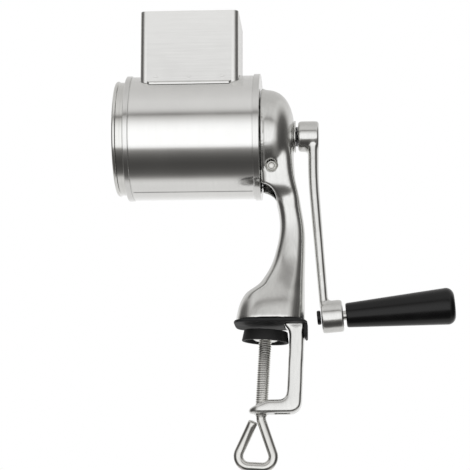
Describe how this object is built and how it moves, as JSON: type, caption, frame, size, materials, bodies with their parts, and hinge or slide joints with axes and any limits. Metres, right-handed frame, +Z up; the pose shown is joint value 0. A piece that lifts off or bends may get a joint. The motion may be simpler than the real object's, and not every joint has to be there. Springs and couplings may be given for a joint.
{
  "type": "rotary cheese grater",
  "caption": "Hand-cranked rotary cheese grater: perforated drum in a round housing with a top hopper, on a screw table clamp.",
  "frame": {"origin": "middle of the rubber pad's underside, which rests on the table top", "axes": "+X along the drum's axis towards the crank, +Z up away from the table, -Y towards the viewer of the picture"},
  "size_m": [0.2106, 0.0798, 0.2862],
  "materials": {
    "cast": "satin polished casting",
    "brushed": "brushed stainless sheet",
    "polished": "mirror polished stainless sheet",
    "zinc": "bright zinc-plated steel",
    "nylon": "natural nylon",
    "rubber": "matt black rubber",
    "plastic": "glossy black plastic"
  },
  "bodies": {
    "frame": {"frame_casting": "cast", "housing_barrel": "brushed", "housing_back": "brushed", "hopper": "brushed", "housing_screw_1": "zinc", "housing_screw_2": "zinc", "housing_screw_3": "zinc", "bell_side_screw": "zinc", "shaft_bush": "nylon", "rubber_pad": "rubber", "steel_washer": "zinc"},
    "crank": {"crank_arm": "cast", "black_washer": "plastic", "handle_spindle": "zinc", "spindle_cap": "plastic"},
    "drum": {"drum_shell": "polished", "drum_back_plate": "polished", "drum_hub_washer": "zinc", "drum_shaft": "polished"},
    "handle": {"grip": "plastic"},
    "pressure_foot": {"pressure_cup": "rubber", "pressure_disc": "zinc"},
    "screw": {"clamp_screw": "zinc"}
  },
  "joints": [
    {"name": "crank_turn", "type": "hinge", "parent": "frame", "child": "crank", "pos_m": [0, 0, 0.12], "axis": [1, 0, 0], "continuous": true},
    {"name": "drum_pull_out", "type": "slide", "parent": "crank", "child": "drum", "axis": [-1, 0, 0], "range_m": [0, 0.14]},
    {"name": "grip_spin", "type": "hinge", "parent": "crank", "child": "handle", "pos_m": [0.0406, 0, 0.0055], "axis": [0.9966, 0, 0.0819], "continuous": true},
    {"name": "clamp_travel", "type": "slide", "parent": "frame", "child": "pressure_foot", "axis": [-0.0593, 0, -0.9982], "range_m": [0, 0.03]},
    {"name": "screw_turn", "type": "hinge", "parent": "pressure_foot", "child": "screw", "pos_m": [-0.00051, 0, -0.0034], "axis": [0.0593, 0, 0.9982], "range_deg": [-10, 8640]}
  ],
  "couplings": [
    {"joint": "screw_turn", "follows": "clamp_travel", "rad_per_m": 5026.5}
  ]
}
